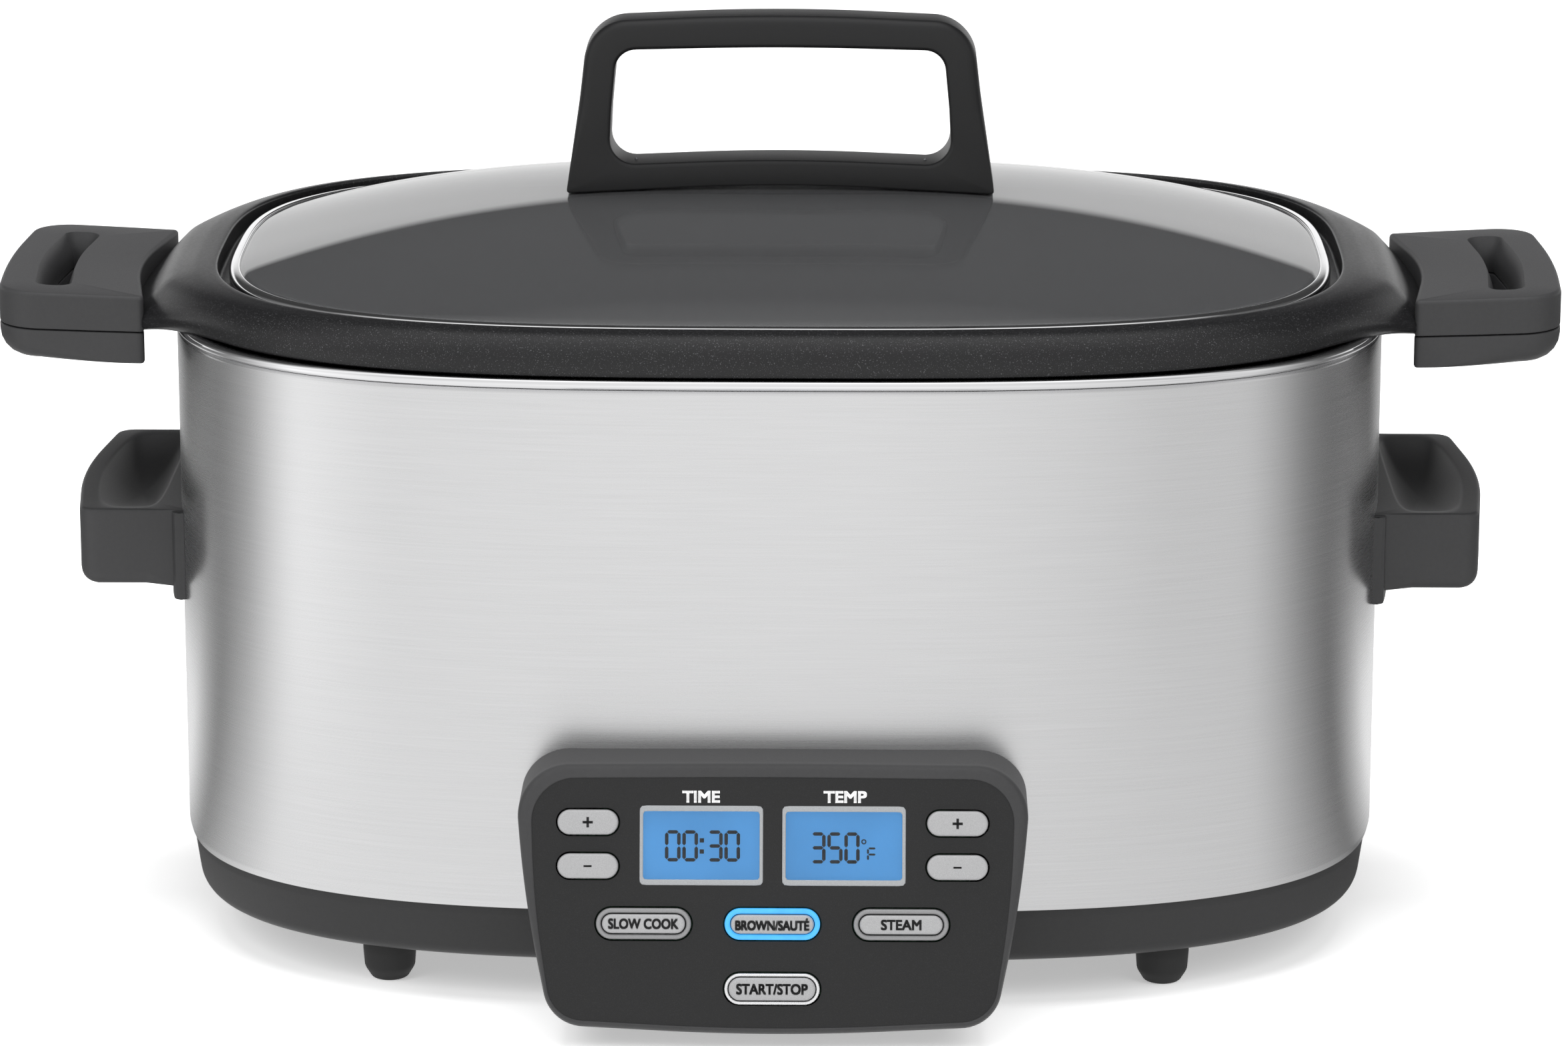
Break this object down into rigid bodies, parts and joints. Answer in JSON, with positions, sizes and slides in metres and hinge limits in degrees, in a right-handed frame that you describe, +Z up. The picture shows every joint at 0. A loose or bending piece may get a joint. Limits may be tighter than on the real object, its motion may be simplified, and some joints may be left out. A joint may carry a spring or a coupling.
{
  "type": "slow cooker",
  "caption": "Oval countertop slow cooker with a lift-out pot, domed glass lid, side handles and a push-button control panel.",
  "frame": {"origin": "middle of the footprint on the table, under the feet", "axes": "+X along the oval towards the right-hand handles, -Y towards the control panel, +Z up"},
  "size_m": [0.4718, 0.2994, 0.2752],
  "materials": {
    "brushed_steel_wrap": "horizontally brushed stainless wrap, satin",
    "polished_steel": "polished stainless band",
    "screw_zinc": "zinc-plated screw",
    "heater_sheath": "dulled heater sheath",
    "aluminium_sheet": "mill-finish sheet",
    "grey_plastic": "fine-textured dark grey moulding",
    "black_plastic": "satin black moulding",
    "fascia_film": "fine-grained black membrane",
    "key_silver": "silver-painted key cap",
    "ring_grey": "unlit translucent ring",
    "ring_blue": "lit blue ring",
    "display_blue": "lit blue display with dark digits",
    "window_glass": "clear display window",
    "smoked_glass": "tempered lid glass",
    "non_stick": "black non-stick coating with fine metallic fleck",
    "rubber_black": "black rubber",
    "circuit_board": "green solder mask",
    "cable_grey": "grey flat cable"
  },
  "bodies": {
    "housing": {"base_pan": "grey_plastic", "base_screw_front_left": "screw_zinc", "base_screw_front_right": "screw_zinc", "base_screw_rear_left": "screw_zinc", "base_screw_rear_right": "screw_zinc", "brown_ring": "ring_blue", "control_board": "circuit_board", "cord_gland": "rubber_black", "display_cable": "cable_grey", "foot_front_left": "rubber_black", "foot_front_right": "rubber_black", "foot_rear_left": "rubber_black", "foot_rear_right": "rubber_black", "heat_shield": "aluminium_sheet", "heating_element": "heater_sheath", "heating_well": "aluminium_sheet", "outer_shell": "brushed_steel_wrap", "panel_fascia": "fascia_film", "panel_housing": "grey_plastic", "panel_screw_left": "screw_zinc", "panel_screw_right": "screw_zinc", "power_board": "circuit_board", "sensor_sleeve": "aluminium_sheet", "sensor_spring": "screw_zinc", "side_handle_left": "grey_plastic", "side_handle_right": "grey_plastic", "side_handle_screw_left": "screw_zinc", "side_handle_screw_right": "screw_zinc", "slow_cook_ring": "ring_grey", "start_ring": "ring_grey", "steam_ring": "ring_grey", "temp_display": "display_blue", "temp_window": "window_glass", "thermal_fuse": "heater_sheath", "time_display": "display_blue", "time_window": "window_glass", "trim_ring": "polished_steel"},
    "pot": {"cooking_pot": "non_stick", "pot_handle_left_upper": "grey_plastic", "pot_handle_left_lower": "grey_plastic", "pot_handle_right_upper": "grey_plastic", "pot_handle_right_lower": "grey_plastic", "pot_handle_screw_left": "screw_zinc", "pot_handle_screw_right": "screw_zinc"},
    "lid": {"lid_glass": "smoked_glass", "lid_band": "polished_steel", "lid_handle": "black_plastic", "lid_gasket_left": "rubber_black", "lid_gasket_right": "rubber_black", "lid_screw_left": "screw_zinc", "lid_screw_right": "screw_zinc"},
    "sensor": {"sensor_plunger": "aluminium_sheet"},
    "time_plus_key": {"time_plus_button": "key_silver"},
    "time_minus_key": {"time_minus_button": "key_silver"},
    "temp_plus_key": {"temp_plus_button": "key_silver"},
    "temp_minus_key": {"temp_minus_button": "key_silver"},
    "slow_cook_key": {"slow_cook_button": "key_silver"},
    "brown_key": {"brown_button": "key_silver"},
    "steam_key": {"steam_button": "key_silver"},
    "start_key": {"start_button": "key_silver"}
  },
  "joints": [
    {"name": "pot_lift", "type": "slide", "parent": "housing", "child": "pot", "axis": [0, 0, 1], "range_m": [0, 0.16]},
    {"name": "lid_lift", "type": "slide", "parent": "pot", "child": "lid", "axis": [0, 0, 1], "range_m": [0, 0.1]},
    {"name": "sensor_press", "type": "slide", "parent": "housing", "child": "sensor", "axis": [0, 0, -1], "range_m": [0, 0.003], "stiffness_N_per_m": 400, "springref_m": -0.004, "deforming": ["sensor_spring"]},
    {"name": "time_plus_press", "type": "slide", "parent": "housing", "child": "time_plus_key", "axis": [0, 0.9629, -0.2699], "range_m": [0, 0.0012], "stiffness_N_per_m": 900, "springref_m": -0.0006},
    {"name": "time_minus_press", "type": "slide", "parent": "housing", "child": "time_minus_key", "axis": [0, 0.9629, -0.2699], "range_m": [0, 0.0012], "stiffness_N_per_m": 900, "springref_m": -0.0006},
    {"name": "temp_plus_press", "type": "slide", "parent": "housing", "child": "temp_plus_key", "axis": [0, 0.9629, -0.2699], "range_m": [0, 0.0012], "stiffness_N_per_m": 900, "springref_m": -0.0006},
    {"name": "temp_minus_press", "type": "slide", "parent": "housing", "child": "temp_minus_key", "axis": [0, 0.9629, -0.2699], "range_m": [0, 0.0012], "stiffness_N_per_m": 900, "springref_m": -0.0006},
    {"name": "slow_cook_press", "type": "slide", "parent": "housing", "child": "slow_cook_key", "axis": [0, 0.9629, -0.2699], "range_m": [0, 0.0012], "stiffness_N_per_m": 900, "springref_m": -0.0006},
    {"name": "brown_press", "type": "slide", "parent": "housing", "child": "brown_key", "axis": [0, 0.9629, -0.2699], "range_m": [0, 0.0012], "stiffness_N_per_m": 900, "springref_m": -0.0006},
    {"name": "steam_press", "type": "slide", "parent": "housing", "child": "steam_key", "axis": [0, 0.9629, -0.2699], "range_m": [0, 0.0012], "stiffness_N_per_m": 900, "springref_m": -0.0006},
    {"name": "start_press", "type": "slide", "parent": "housing", "child": "start_key", "axis": [0, 0.9629, -0.2699], "range_m": [0, 0.0012], "stiffness_N_per_m": 900, "springref_m": -0.0006}
  ]
}
